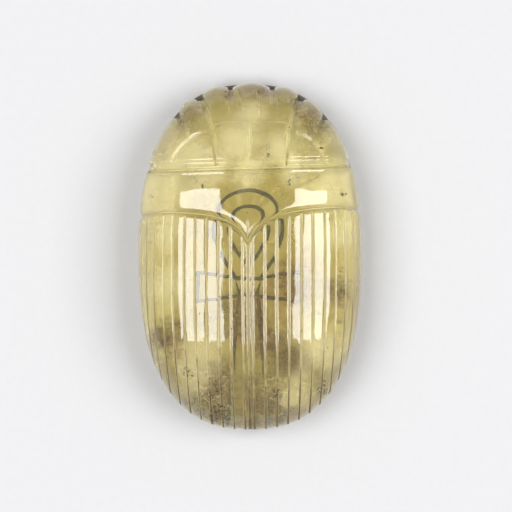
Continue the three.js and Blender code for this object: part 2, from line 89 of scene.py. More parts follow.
# The step behind the prothorax, the line behind the head, and the raised plate of the head.
STEP_DEPTH = 0.45
STEP_FRONT_WIDTH = 1.05
STEP_BACK_WIDTH = 0.6
NECK_DEPTH = 0.3
NECK_HALF_WIDTH = 0.26
NECK_STRIP = 0.75
PLATE_RISE = 0.26
PLATE_BEVEL = 0.35
REAR_EDGE = {"level": 0.303, "dip": 0.222, "dip_width": 0.146, "droop": 0.036, "tilt": 0.018}
NECK = {"level": 0.5, "tilt": 0.018}
BROW_SHARE = 0.53
BROW_DEPTH = 0.26
BROW_LIP = 0.3
BROW_FADE = 2.4

# The crest down the middle of the head plate: its ends are shares of the half length.
CREST = {"middle": -0.05, "half": 0.22, "depth": 0.045, "start": (0.555, 0.57), "end": (0.72, 0.755)}
CREST_GROUND = 0.5

# The fine line along the prothorax's front edge.
MARGIN = {"offset": 0.55, "half": 0.16, "depth": 0.06}

# Corners of the surface grid, as shares of the half width.
TAIL_CORNER = 0.92
HEAD_CORNER = 0.86

# Notches of the head's edge in degrees from straight ahead, their depth, and how the inset of the cheeks
# starts and fades in degrees past the last notch. The lobes' form fades in between shares of the outline.
NOTCHES = (-27.4, -18.5, -6.6, 7.2, 18.5, 28.2)
LOBE_NOTCH = 0.52
CHEEK_INSET = 0.18
CHEEK_START = (0, 3)
CHEEK_END = (8, 24)
LOBES_BEGIN = (0.6, 0.93)

# Unevenness of the hand polish, left out of the outermost band of the back.
BROAD_UNEVEN = 0.03
FINE_UNEVEN = 0.008
EVEN_BAND = 0.93


def smooth(start, stop, value):
    t = np.clip((value - start) / (stop - start), 0, 1)
    return t * t * (3 - 2 * t)


def mix(a, b, share):
    return a + (b - a) * share


def cut_shape(distance, half):
    """Cross-section of a cut with a rounded bottom: 1 in the middle, 0 at its half width."""
    return np.maximum(0, 1 - (distance / half) ** 2) ** 1.5


class Wander:
    """Smooth uneven values from -1 to 1 over the plane, the same on each run."""

    CELLS = 64

    def __init__(self, seed, size):
        self.grid = np.random.RandomState(seed).uniform(-1, 1, (self.CELLS, self.CELLS))
        self.size = size

    def __call__(self, x, y):
        u, v = (np.asarray(along) / self.size + self.CELLS / 2 for along in (x, y))
        i, j = np.floor(u).astype(int), np.floor(v).astype(int)
        a, b = smooth(0, 1, u - i), smooth(0, 1, v - j)
        at = lambda di, dj: self.grid[(i + di) % self.CELLS, (j + dj) % self.CELLS]
        return mix(mix(at(0, 0), at(1, 0), a), mix(at(0, 1), at(1, 1), a), b)


def outline_reach(angle):
    """How far the outline reaches at an angle measured from the head's side, clockwise."""
    across = np.abs(np.sin(angle) / HALF_WIDTH) ** OUTLINE_POWER
    along = np.abs(np.cos(angle) / HALF_LENGTH) ** OUTLINE_POWER
    return (across + along) ** (-1 / OUTLINE_POWER)


def rim_share(angle):
    """The head's edge against the outline: lobes with notches between them, then plain cheeks."""
    degrees = np.degrees(angle)
    share = np.ones_like(degrees)
    for first, second in zip(NOTCHES, NOTCHES[1:]):
        across = np.clip((degrees - first) / (second - first), 0, 1)
        bulge = np.sin(math.pi * across).clip(0)
        inside = (degrees >= first) & (degrees < second)
        share = np.where(inside, 1 - LOBE_NOTCH / HALF_LENGTH * (1 - bulge), share)
    past = np.where(degrees < 0, NOTCHES[0] - degrees, degrees - NOTCHES[-1])
    inset = mix(LOBE_NOTCH, CHEEK_INSET, smooth(*CHEEK_START, past)) * (1 - smooth(*CHEEK_END, past))
    return np.where(past >= 0, 1 - inset / HALF_LENGTH, share)


def rim_level(v):
    head = (RIM_HEIGHT - HEAD_RIM_HEIGHT) * smooth(HEAD_RIM_START, 1, v)
    tail = (RIM_HEIGHT - TAIL_RIM_HEIGHT) * smooth(TAIL_RIM_START, 1, -v)
    return RIM_HEIGHT - head - tail


def crown_level(v):
    return BACK_HEIGHT - HEAD_DROP * np.maximum(0, (v - HEAD_DROP_START) / (1 - HEAD_DROP_START)) ** 2


def edge_share(x, y):
    """0 in the middle of the back and 1 on its edge, lobes included."""
    angle = np.arctan2(x, y)
    share = np.hypot(x, y) / outline_reach(angle)
    return share / (1 + (rim_share(angle) - 1) * smooth(*LOBES_BEGIN, share))


def arch_level(x, y):
    v = y / HALF_LENGTH
    rise = (1 - np.minimum(1, edge_share(x, y)) ** ARCH_POWER) ** (1 / ARCH_POWER)
    return rim_level(v) + (crown_level(v) - rim_level(v)) * rise


def arch_normal(x, y, z):
    def form(px, py, pz):
        v = py / HALF_LENGTH
        lift = np.maximum(0, pz - rim_level(v)) / (crown_level(v) - rim_level(v))
        return edge_share(px, py) ** ARCH_POWER + lift ** ARCH_POWER

    e = 0.01
    slope = np.stack([
        form(x + e, y, z) - form(x - e, y, z),
        form(x, y + e, z) - form(x, y - e, z),
        form(x, y, z + e) - form(x, y, z - e),
    ], axis=-1)
    return slope / np.linalg.norm(slope, axis=-1, keepdims=True)


def rear_edge(x):
    u = x / HALF_WIDTH
    seam = np.abs(u - SEAM_OFFSET / HALF_WIDTH)
    dip = REAR_EDGE["dip"] / (1 + seam / REAR_EDGE["dip_width"])
    return HALF_LENGTH * (REAR_EDGE["level"] - dip - REAR_EDGE["droop"] * u ** 8 + REAR_EDGE["tilt"] * u)


def neck_line(x):
    return HALF_LENGTH * (NECK["level"] + NECK["tilt"] * x / HALF_WIDTH)


def brow_line(x):
    share = np.minimum(0.999, np.abs(x) / HALF_WIDTH)
    edge = HALF_LENGTH * (1 - share ** OUTLINE_POWER) ** (1 / OUTLINE_POWER)
    return mix(neck_line(x), edge, BROW_SHARE)


def square_to(line, x, y):
    slope = (line(x + 0.05) - line(x - 0.05)) / 0.1
    return (y - line(x)) / np.hypot(1, slope)


def curve_points(controls, steps=24):
    """A bent line on the plan from three control points in shares of the half width and half length."""
    a, b, c = (np.array([u * HALF_WIDTH, v * HALF_LENGTH]) for u, v in controls)
    t = np.linspace(0, 1, steps)[:, None]
    return a * (1 - t) ** 2 + b * 2 * t * (1 - t) + c * t ** 2


def ray_share(degrees, share):
    """A point on the ray at an angle, at a share of the outline's reach, as shares of the half sizes."""
    angle = math.radians(degrees)
    reach = float(outline_reach(angle)) * share
    return (reach * math.sin(angle) / HALF_WIDTH, reach * math.cos(angle) / HALF_LENGTH)


def nearest(run, x, y):
    """Distance from plan points to a run of points, and how far along the run the nearest place is."""
    best = np.full(np.shape(x), np.inf)
    along = np.zeros(np.shape(x))
    for i, (a, b) in enumerate(zip(run, run[1:])):
        edge = b - a
        t = np.clip(((x - a[0]) * edge[0] + (y - a[1]) * edge[1]) / (edge @ edge), 0, 1)
        distance = np.hypot(x - a[0] - t * edge[0], y - a[1] - t * edge[1])
        along = np.where(distance < best, (i + t) / (len(run) - 1), along)
        best = np.minimum(best, distance)
    return best, along


def straight(start, stop):
    middle = tuple((a + b) / 2 for a, b in zip(start, stop))
    return (start, middle, stop)


# Lines cut into the head: half width, depth, how they fade along the way and how unpolished they are
# left, how all of them narrow towards their ends, and where each runs as control points in shares.
FURROW = {"half": 0.45, "depth": 0.5, "fade": 0.0, "ground": 0.6}
CHEEK = {"half": 0.32, "depth": 0.2, "fade": 0.4, "ground": 0.5}
LOBE = {"half": 0.32, "depth": 0.22, "fade": 1.0, "ground": 0.6}
SCRATCH = {"half": 0.14, "depth": 0.1, "fade": 0.6, "ground": 1.0}
NARROWS = {"by": 0.6, "from": 0.7}
FADES_FROM = 0.3
HEAD_CUTS = [
    ((ray_share(-18.5, 1.02), (-0.325, 0.82), (-0.305, 0.525)), FURROW),
    ((ray_share(18.5, 1.02), (0.335, 0.82), (0.325, 0.525)), FURROW),
    (((-0.69, 0.55), (-0.585, 0.68), (-0.385, 0.715)), CHEEK),
    (((0.42, 0.7), (0.59, 0.665), (0.695, 0.53)), CHEEK),
    (straight(ray_share(-27.4, 1.02), ray_share(-27.4, 0.79)), LOBE),
    (straight(ray_share(-6.6, 1.02), ray_share(-7.5, 0.84)), LOBE),
    (straight(ray_share(7.2, 1.02), ray_share(8.5, 0.84)), LOBE),
    (straight(ray_share(28.2, 1.02), ray_share(28.2, 0.79)), LOBE),
    (straight(ray_share(-3.9, 0.95), ray_share(-2.6, 0.83)), SCRATCH),
    (straight(ray_share(2.7, 0.95), ray_share(3.9, 0.79)), SCRATCH),
    (straight(ray_share(-8.6, 0.92), ray_share(-8.2, 0.82)), SCRATCH),
    (straight(ray_share(10.1, 0.93), ray_share(10.8, 0.83)), SCRATCH),
    (straight((-0.86, 0.59), (-0.75, 0.575)), SCRATCH),
    (straight((0.516, 0.755), (0.575, 0.82)), SCRATCH),
]


def furrow_place(controls, y):
    """How far across the head a furrow lies at a level y."""
    run = curve_points(controls)[::-1]
    return np.interp(y, run[:, 1], run[:, 0])


def head_carving(x, y):
    """Depth of the head's carving, and how unpolished it is."""
    depth, ground = np.zeros(np.shape(x)), np.zeros(np.shape(x))
    for controls, cut in HEAD_CUTS:
        distance, along = nearest(curve_points(controls), x, y)
        half = cut["half"] * (1 - NARROWS["by"] * smooth(NARROWS["from"], 1, along))
        deepest = cut["depth"] * (1 - cut["fade"] * smooth(FADES_FROM, 1, along))
        shape = cut_shape(distance, half)
        depth = np.maximum(depth, deepest * shape)
        ground = np.maximum(ground, cut["ground"] * shape * deepest / cut["depth"])
    brow = square_to(brow_line, x, y)
    left, right = (furrow_place(controls, y) for controls, _ in HEAD_CUTS[:2])
    lip = BROW_DEPTH * smooth(0, BROW_LIP, brow) * (1 - smooth(BROW_LIP, BROW_FADE, brow))
    depth = np.maximum(depth, np.where((x > left) & (x < right), lip, 0))
    level = y / HALF_LENGTH
    crest = cut_shape(np.abs(x - CREST["middle"]), CREST["half"])
    crest = crest * smooth(*CREST["start"], level) * (1 - smooth(*CREST["end"], level))
    depth = np.maximum(depth, CREST["depth"] * crest)
    ground = np.maximum(ground, CREST_GROUND * crest)
    ahead = y > neck_line(x)
    return np.where(ahead, depth, 0), np.where(ahead, ground, 0)


def cross_carving(x, y):
    rear = square_to(rear_edge, x, y)
    width = np.where(rear > 0, STEP_FRONT_WIDTH, STEP_BACK_WIDTH)
    step = STEP_DEPTH * (1 - np.sqrt(1 - (1 - np.clip(np.abs(rear) / width, 0, 1)) ** 2))
    neck = square_to(neck_line, x, y)
    strip = PLATE_RISE * smooth(-0.1, 0.1, neck) * (1 - smooth(NECK_STRIP, NECK_STRIP + PLATE_BEVEL, neck))
    margin = MARGIN["depth"] * cut_shape(np.abs(neck + MARGIN["offset"]), MARGIN["half"])
    return step + strip + margin + NECK_DEPTH * cut_shape(np.abs(neck), NECK_HALF_WIDTH)


# Arc length along the widest cross-section, against the share of the half width.
section_angle = np.linspace(0, math.pi / 2, 4001)
section_share = np.sin(section_angle) ** (2 / ARCH_POWER)
section_height = (BACK_HEIGHT - RIM_HEIGHT) * np.cos(section_angle).clip(0) ** (2 / ARCH_POWER)
section_arc = np.concatenate([[0], np.cumsum(np.hypot(
    np.diff(section_share * HALF_WIDTH), np.diff(section_height)))])
SECTION_LENGTH = section_arc[-1]
GROOVE_ARCS = np.arange(FIRST_GROOVE, SECTION_LENGTH - GROOVE_PITCH, GROOVE_PITCH)

# Columns of the surface grid in millimetres of arc: beside the seam, over a groove, between two grooves and
# near the edge. The first grooves start in the bend of the prothorax's rear edge, where the grid is closer.
SEAM_COLUMNS = (0.07, 0.14, 0.21)
GROOVE_COLUMNS = np.array([-0.2, -0.135, -0.07, 0, 0.07, 0.135, 0.2])
WIDE_COLUMNS = np.array([0.47, 0.65, 0.83])
CLOSE_COLUMNS = np.arange(0.29, 1.05, 0.09)
BENT_GROOVES = 3
EDGE_COLUMNS = 0.7


def column_arcs():
    """Arc places of the grid's columns: close over each groove, wider between them."""
    side = list(SEAM_COLUMNS)
    for number, arc in enumerate(GROOVE_ARCS):
        side.extend(arc + GROOVE_COLUMNS)
        side.extend(arc + (CLOSE_COLUMNS if number < BENT_GROOVES else WIDE_COLUMNS))
    side = [arc for arc in side if arc < SECTION_LENGTH - EDGE_COLUMNS]
    side.extend(SECTION_LENGTH - EDGE_COLUMNS * np.linspace(1, 0, 8) ** 1.5)
    side = np.array(sorted(side))
    return np.concatenate([-side[::-1], [0], side])


def outline_end(share, end):
    x = share * HALF_WIDTH
    y = end * HALF_LENGTH * (1 - np.abs(share) ** OUTLINE_POWER) ** (1 / OUTLINE_POWER)
    if end < 0:
        return x, y
    scale = rim_share(np.arctan2(x, y))
    return x * scale, y * scale


def column_point(s, t):
    """Plan point at a share s across the body and a share t from the tail's edge to the head's."""
    tail_x, tail_y = outline_end(s * TAIL_CORNER, -1)
    head_x, head_y = outline_end(s * HEAD_CORNER, 1)
    side = np.where(s < 0, -1.0, 1.0)
    low_x, low_y = outline_end(side * TAIL_CORNER, -1)
    high_x, high_y = outline_end(side * HEAD_CORNER, 1)
    corner_x, corner_y = mix(low_x, high_x, t), mix(low_y, high_y, t)
    half = HALF_WIDTH * (1 - np.abs(corner_y / HALF_LENGTH) ** OUTLINE_POWER) ** (1 / OUTLINE_POWER)
    share = np.where(corner_y > 0, rim_share(np.arctan2(side * half, corner_y)), 1)
    bulge = side * half * share - corner_x
    x = mix(tail_x, head_x, t) + bulge * np.abs(s) + SEAM_OFFSET * (1 - s * s) * np.sin(math.pi * t)
    return x, mix(tail_y, head_y, t)


def crossing(s, line, offset):
    start, stop = np.zeros_like(s), np.ones_like(s)
    for _ in range(32):
        middle = (start + stop) / 2
        x, y = column_point(s, middle)
        before = square_to(line, x, y) < offset
        start, stop = np.where(before, middle, start), np.where(before, stop, middle)
    return (start + stop) / 2


# Rows of the surface grid: their distances from each carved line, and their number between the lines.
REAR_ROWS = np.concatenate([np.linspace(-STEP_BACK_WIDTH, 0, 9), np.linspace(0, STEP_FRONT_WIDTH, 13)[1:]])
NECK_ROWS = np.concatenate([
    np.linspace(-0.75, 0.3, 19), np.linspace(0.3, NECK_STRIP + PLATE_BEVEL, 10)[1:]])
BROW_ROWS = np.linspace(-0.05, BROW_LIP + 0.05, 6)
ROWS_BETWEEN = {"wings": 84, "prothorax": 18, "plate": 26, "lobes": 44}


def grid_rows(s):
    """Shares t of the rows for each column: tight over the carved lines and towards both ends."""
    stretch = lambda a, b, count, curve: [mix(a, b, curve(i / count)) for i in range(count)]
    even = lambda share: share
    cuts = lambda line, offsets: [crossing(s, line, offset) for offset in offsets]
    tight_start = lambda share: 1 - math.cos(share * math.pi / 2)
    tight_end = lambda share: math.sin(share * math.pi / 2)
    rear = cuts(rear_edge, REAR_ROWS)
    neck = cuts(neck_line, NECK_ROWS)
    brow = cuts(brow_line, BROW_ROWS)
    rows = stretch(np.zeros_like(s), rear[0], ROWS_BETWEEN["wings"], tight_start)
    rows += rear
    rows += stretch(rear[-1], neck[0], ROWS_BETWEEN["prothorax"], even)[1:]
    rows += neck
    rows += stretch(neck[-1], brow[0], ROWS_BETWEEN["plate"], even)[1:]
    rows += brow
    rows += stretch(brow[-1], np.ones_like(s), ROWS_BETWEEN["lobes"], tight_end)[1:]
    rows.append(np.ones_like(s))
    return np.array(rows).T


# Unevenness of the hand work: of the polish, then of the seam and grooves, with how far they sway in
# millimetres, by what shares their width and depth change, and how far apart the courses of two grooves lie.
uneven_broad = Wander(3, 5.5)
uneven_fine = Wander(4, 1.3)
groove_sway = Wander(5, 6.3)
groove_strength = Wander(6, 3.3)
SEAM_SWAY = 0.03
GROOVE_SWAY = 0.035
WIDTH_CHANGE = 0.25
DEPTH_CHANGE = 0.3
LANE = 2.6


def groove_carving(arcs, x, y):
    """Depth of the seam and grooves of the wing cases, swaying a little as hand-cut lines do."""
    depth = SEAM_DEPTH * cut_shape(np.abs(arcs + SEAM_SWAY * groove_sway(y, 0)), SEAM_HALF_WIDTH)
    for number, arc in enumerate(GROOVE_ARCS, 1):
        for side in (-1, 1):
            lane = side * number * LANE
            sway = GROOVE_SWAY * groove_sway(y, lane)
            half = GROOVE_HALF_WIDTH * (1 + WIDTH_CHANGE * groove_strength(y, lane))
            strength = GROOVE_DEPTH * (1 + DEPTH_CHANGE * groove_strength(lane, y))
            depth = np.maximum(depth, strength * cut_shape(np.abs(arcs - side * arc - sway), half))
    onset = smooth(STEP_BACK_WIDTH * 0.15, STEP_BACK_WIDTH * 0.9, -square_to(rear_edge, x, y))
    return depth * onset


def back_grid():
    """Points of the carved back as columns by rows by three, and how far each lies in a ground cut."""
    arcs = column_arcs()
    s = np.sign(arcs) * np.interp(np.abs(arcs), section_arc, section_share)
    t = grid_rows(s)
    x, y = column_point(s[:, None] * np.ones_like(t), t)
    z = arch_level(x, y)
    out = arch_normal(x, y, z)
    head, head_ground = head_carving(x, y)
    grooves = groove_carving(arcs[:, None] * np.ones_like(t), x, y)
    cross = cross_carving(x, y)
    depth = head + grooves + cross
    ground = head_ground + grooves / GROOVE_DEPTH + 0.5 * (cross / STEP_DEPTH) ** 2
    inner = smooth(1, EVEN_BAND, edge_share(x, y))
    uneven = BROAD_UNEVEN * (1 + uneven_broad(x, y)) + FINE_UNEVEN * uneven_fine(x, y)
    depth = depth + inner * uneven
    return np.stack([x, y, z], axis=-1) - out * depth[..., None], np.clip(ground, 0, 1)


def side_columns():
    """Angles of the side's columns at the foot and top of the waist, counter-clockwise from the tail."""
    feet, tops = [0.0], [0.0]
    for leg in LEGS:
        for across in (-LEG_WIDTH / 2, LEG_FLANK - LEG_WIDTH / 2, LEG_WIDTH / 2 - LEG_FLANK, LEG_WIDTH / 2):
            for angles, middle in ((feet, leg["foot"]), (tops, leg["joint"])):
                angles.append(middle + math.degrees(across / float(outline_reach(math.radians(middle)))))
    feet.append(180.0)
    tops.append(180.0)
    fine = [0.0]
    for i in range(len(feet) - 1):
        steps = 5 if i % 4 else max(1, round((feet[i + 1] - feet[i]) / 1.1))
        fine.extend(i + (n + 1) / steps for n in range(steps))
    right_feet = np.interp(fine, range(len(feet)), feet)
    right_tops = np.interp(fine, range(len(tops)), tops)
    around = lambda right: np.radians(np.concatenate([right[::-1], -right[1:-1]]))
    return around(right_feet), around(right_tops)


def leg_share(angle, height):
    """1 on a leg's crest and 0 in the hollow, at an angle and a height share of the waist."""
    most = np.zeros_like(angle)
    for leg in LEGS:
        middle = math.radians(mix(leg["foot"], leg["joint"], height))
        off = np.abs(np.abs(angle) - middle) * outline_reach(middle)
        most = np.maximum(most, 1 - smooth(LEG_WIDTH / 2 - LEG_FLANK, LEG_WIDTH / 2, off))
    return most


# Rings of the side: points of each rounding and rings of the waist. The rounding under the back's edge goes
# in and down by shares of the waist's depth and rounding, and the waist hollows by shares of its depth.
ROUND_STEPS = 5
WAIST_RINGS = 11
LIP_INSET = 0.4
LIP_DROP = 0.7
WAIST_LIFT = 0.1
WAIST_HOLLOW = (0.8, 0.2)
WAIST_FOOT = 0.5


def lip_rings(edge):
    """Rings that round the lower edge of the back, one point under each point of the edge."""
    angle = np.arctan2(edge[:, 0], edge[:, 1])
    reach = outline_reach(angle)
    inset = reach - np.hypot(edge[:, 0], edge[:, 1])
    for turn in np.linspace(0, math.pi / 2, ROUND_STEPS)[1:]:
        r = reach - mix(inset, np.maximum(inset, WAIST_DEPTH * LIP_INSET), 1 - math.cos(turn))
        z = edge[:, 2] - WAIST_ROUND * LIP_DROP * math.sin(turn)
        yield np.stack([r * np.sin(angle), r * np.cos(angle), z], axis=-1)


def side_rings():
    """Rings from the top of the waist down to the underside, on the side's own columns."""
    feet, tops = side_columns()

    def ring(angle, inset, z):
        reach = outline_reach(angle)
        level = z(rim_level(reach * np.cos(angle) / HALF_LENGTH))
        r = reach - inset
        return np.stack([r * np.sin(angle), r * np.cos(angle), level * np.ones_like(r)], axis=-1)

    floor = BASE_THICKNESS + WAIST_LIFT
    for height in np.linspace(1, 0, WAIST_RINGS):
        angle = mix(feet, tops, height)
        bow = math.sin(math.pi * height) ** 0.5
        hollow = WAIST_DEPTH * (WAIST_HOLLOW[0] + WAIST_HOLLOW[1] * bow)
        inset = mix(hollow, LEG_INSET, leg_share(angle, height))
        yield ring(angle, inset, lambda rim: mix(floor, rim - WAIST_ROUND, height))
    inset = mix(WAIST_DEPTH * WAIST_FOOT, LEG_INSET, leg_share(feet, 0))
    yield ring(feet, inset, lambda rim: BASE_THICKNESS)
    for turn in np.linspace(0, math.pi / 2, ROUND_STEPS):
        r = BASE_MARGIN + BASE_ROUND * (1 - math.sin(turn))
        yield ring(feet, r, lambda rim: BASE_THICKNESS - BASE_ROUND * (1 - math.cos(turn)))
    yield ring(feet, BASE_MARGIN, lambda rim: BASE_THICKNESS / 2)
    for turn in np.linspace(0, math.pi / 2, ROUND_STEPS):
        r = BASE_MARGIN + BASE_CHAMFER * (1 - math.cos(turn))
        yield ring(feet, r, lambda rim: BASE_CHAMFER * (1 - math.sin(turn)))


def stitch(upper, lower, upper_points, lower_points):
    """Triangles between two counter-clockwise rings with any number of points."""
    def turned(ring, points):
        turns = np.degrees(math.pi * 3 - np.arctan2(points[:, 0], points[:, 1])) % 360
        first = int(np.argmin(turns))
        ahead = np.roll(turns, -first)
        return np.roll(ring, -first), np.append(ahead, ahead[0] + 360)

    (high, high_turns), (low, low_turns) = turned(upper, upper_points), turned(lower, lower_points)
    faces, i, j = [], 0, 0
    while i < len(high) or j < len(low):
        h, l = int(high[i % len(high)]), int(low[j % len(low)])
        if j == len(low) or (i < len(high) and high_turns[i + 1] < low_turns[j + 1]):
            i += 1
            faces.append([l, int(high[i % len(high)]), h])
        else:
            j += 1
            faces.append([l, int(low[j % len(low)]), h])
    return faces


# The looped cross cut in outline into the underside, in millimetres.
SIGN_OFFSET = -0.17
SIGN_HALF_LINE = 0.17
SIGN_DEPTH = 0.26
LOOP = {"top": 6.6, "tip": -4.0, "half": 3.3}
DROP = {"top": 5.1, "tip": -1.0, "half": 2.0}
DROP_POWER = 0.7
ARM = {"reach": 4.7, "middle": -3.2, "end": 1.5, "root": 0.72}
STEM = {"top": 0.97, "foot": 1.95, "end": -15.8}
line_sway = Wander(8, 1.1)
line_width = Wander(9, 0.7)
LINE_SWAY = 0.05
LINE_STEP = 0.35


def drop_run(top, tip, half, foot=0.0):
    """A drop with its point towards the tail. A foot above 0 leaves it open at that share of its length."""
    end = math.acos(2 * foot ** (1 / DROP_POWER) - 1)
    angle = np.linspace(-end, end, 61)
    w = ((1 + np.cos(angle)) / 2) ** DROP_POWER
    x = -np.sign(angle) * half * w * np.sqrt(1 - w) / (2 / 3 * math.sqrt(1 / 3))
    return np.stack([x, tip + (top - tip) * w], axis=-1)


def sign_runs():
    """The middle lines of the sign: its loop, the drop inside it, its arms and its stem."""
    top, foot = ARM["middle"] + ARM["root"], ARM["middle"] - ARM["root"]
    up, down = ARM["middle"] + ARM["end"], ARM["middle"] - ARM["end"]
    arms = [(-ARM["reach"], down), (0, foot), (ARM["reach"], down), (ARM["reach"], up), (0, top),
            (-ARM["reach"], up), (-ARM["reach"], down)]
    stem = [(-STEM["top"], foot), (-STEM["foot"], STEM["end"]), (STEM["foot"], STEM["end"]),
            (STEM["top"], foot)]
    loop_foot = (top - LOOP["tip"]) / (LOOP["top"] - LOOP["tip"])
    runs = [drop_run(**LOOP, foot=loop_foot), drop_run(**DROP)]
    for corners in (arms, stem):
        for a, b in zip(corners, corners[1:]):
            count = max(2, round(math.dist(a, b) / LINE_STEP))
            runs.append(np.linspace(a, b, count + 1))
    for run in runs:
        sway = [line_sway(run[:, 0], run[:, 1]), line_sway(run[:, 1], run[:, 0] + 20)]
        run += LINE_SWAY * np.stack(sway, axis=-1)
        run[:, 0] += SIGN_OFFSET
    return runs


def line_half_width(x, y):
    return SIGN_HALF_LINE * (1 + WIDTH_CHANGE * line_width(x, y))


def underside(ring):
    """The flat underside inside a ring of points, with the sign's lines sunk into it."""
    points = [tuple(p) for p in ring[:, :2]]
    edges = [(i, (i + 1) % len(points)) for i in range(len(points))]
    runs = sign_runs()
    for run in runs:
        ahead = np.gradient(run, axis=0)
        ahead /= np.linalg.norm(ahead, axis=1, keepdims=True)
        beside = np.stack([-ahead[:, 1], ahead[:, 0]], axis=-1)
        width = line_half_width(*run.T)[:, None]
        for share in (-1, -0.55, 0, 0.55, 1):
            start = len(points)
            points.extend(tuple(p) for p in run + beside * width * share)
            edges.extend((start + i, start + i + 1) for i in range(len(run) - 1))
    found = delaunay_2d_cdt([tuple(map(float, p)) for p in points], edges, [], 0, 1e-4)
    flat, faces, origins = found[0], found[2], found[3]
    xy = np.array([(p.x, p.y) for p in flat])
    depth = np.zeros(len(xy))
    width = line_half_width(*xy.T)
    for run in runs:
        distance, _ = nearest(run, *xy.T)
        depth = np.maximum(depth, SIGN_DEPTH * np.sqrt(np.maximum(0, 1 - (distance / width) ** 2)))
    return xy, depth, faces, origins


# Name of the mesh attribute that holds how far a point lies in a ground, unpolished cut, and its value on
# the flat underside and in the waist.
GROUND = "ground_cut"
UNDERSIDE_GROUND = 0.45
WAIST_GROUND = 0.8


def make_stone():
    """The whole amulet as one closed mesh, in metres."""
    grid, ground = back_grid()
    columns, rows = grid.shape[:2]
    number = np.arange(columns * rows).reshape(columns, rows)
    corners = [number[:-1, :-1], number[1:, :-1], number[1:, 1:], number[:-1, 1:]]
    faces = np.stack([c.ravel() for c in corners], axis=-1).tolist()
    loop = np.concatenate([number[:-1, 0], number[-1, :-1], number[:0:-1, -1], number[0, :0:-1]])
    points = [grid.reshape(-1, 3)]
    ground = [ground.ravel()]
    count = columns * rows
    edge = points[0][loop]
    above = edge
    for ring in (*lip_rings(edge), *side_rings()):
        lower = count + np.arange(len(ring))
        if len(lower) == len(loop):
            ahead = np.roll(np.arange(len(loop)), -1)
            faces.extend(np.stack([lower, lower[ahead], loop[ahead], loop], axis=-1).tolist())
        else:
            faces.extend(stitch(loop, lower, above, ring))
        points.append(ring)
        ring_x, ring_y, ring_z = ring.T
        inset = outline_reach(np.arctan2(ring_x, ring_y)) - np.hypot(ring_x, ring_y)
        hollow = smooth(BASE_MARGIN, WAIST_DEPTH, inset)
        ground.append(WAIST_GROUND * hollow * (ring_z > BASE_THICKNESS / 2))
        count += len(ring)
        loop, above = lower, ring
    xy, depth, flat_faces, origins = underside(points[-1])
    place = {}
    extra = []
    for i, source in enumerate(origins):
        rim = [n for n in source if n < len(loop)]
        if rim:
            place[i] = int(loop[rim[0]])
        else:
            place[i] = count + len(extra)
            extra.append((xy[i][0], xy[i][1], depth[i]))
    points.append(np.array(extra))
    ground.append(np.full(len(extra), UNDERSIDE_GROUND))
    cut_faces = []
    for face in flat_faces:
        cut_faces.append(max(depth[i] for i in face) > 0.5 * SIGN_DEPTH)
        faces.append([place[i] for i in reversed(face)])
    mesh = bpy.data.meshes.new("scarab_stone")
    mesh.from_pydata((np.concatenate(points) * MM).tolist(), [], faces)
    mesh.polygons.foreach_set("use_smooth", [True] * len(mesh.polygons))
    first = len(faces) - len(flat_faces)
    for i, cut in enumerate(cut_faces):
        mesh.polygons[first + i].material_index = int(cut)
        mesh.polygons[first + i].use_smooth = False
    mesh.attributes.new(GROUND, "FLOAT", "POINT").data.foreach_set("value", np.concatenate(ground))
    mesh.update()
    return mesh


# Films on healed cracks inside the stone: middle (x, y, z), half sizes, turn and tilt in degrees.
VEILS = (
    {"middle": (-7.9, -8.2, 3.6), "half": (2.2, 1.9), "turn": 40, "tilt": 24},
    {"middle": (2.4, -9.2, 4.2), "half": (3.4, 1.8), "turn": -20, "tilt": 14},
    {"middle": (3.8, -10.8, 3.0), "half": (2.0, 2.2), "turn": 15, "tilt": 30},
    {"middle": (8.0, -4.6, 3.0), "half": (1.2, 2.8), "turn": 0, "tilt": -12},
    {"middle": (4.3, -3.4, 5.4), "half": (2.0, 3.4), "turn": 20, "tilt": 12},
    {"middle": (0.8, -14.2, 3.2), "half": (1.9, 2.4), "turn": 10, "tilt": 20},
    {"middle": (-3.4, -12.2, 2.6), "half": (2.6, 2.8), "turn": 35, "tilt": 10},
    {"middle": (1.6, 17.0, 2.6), "half": (2.0, 1.2), "turn": -12, "tilt": 8},
    {"middle": (-1.0, -6.5, 2.4), "half": (3.6, 3.2), "turn": 60, "tilt": 6},
)

# Clusters of dark grains sealed in the stone: middle (x, y, z), spread along each axis, and number.
GRAINS = (
    ((-3.2, -13.0, 3.4), (1.1, 1.9, 1.0), 170),
    ((-7.6, -8.8, 3.6), (0.9, 1.0, 0.8), 80),
    ((3.0, -10.2, 4.0), (1.8, 1.2, 1.0), 130),
    ((0.6, -14.8, 3.0), (0.6, 1.3, 0.7), 70),
    ((6.2, -11.6, 3.0), (1.4, 1.4, 0.8), 90),
    ((8.2, -3.6, 3.2), (0.9, 1.8, 0.8), 60),
    ((1.6, 10.6, 6.0), (0.3, 0.4, 0.3), 16),
    ((4.1, 8.1, 8.8), (0.12, 0.5, 0.1), 22),
    ((-4.6, 7.8, 8.7), (0.25, 0.2, 0.1), 12),
    ((-9.4, 6.6, 6.2), (0.3, 0.2, 0.3), 6),
    ((-9.3, -1.2, 6.0), (0.3, 0.15, 0.3), 8),
    ((0.0, -3.0, 3.6), (5.5, 8.5, 1.6), 150),
)

# Name of the mesh attribute that holds how full a film is at a point, and how far films are crumpled.
SPREAD = "veil_spread"
CRUMPLE = 0.35

# Half sizes of the grains in millimetres, how they stretch, how much stone stays under and over them, and
# how near the edge they come.
SMALLEST_GRAIN = 0.02
GRAIN_RANGE = 0.05
GRAIN_STRETCH = (0.6, 1.5)
STONE_UNDER_GRAINS = 0.6
STONE_OVER_GRAINS = 0.8
GRAIN_EDGE = 0.88


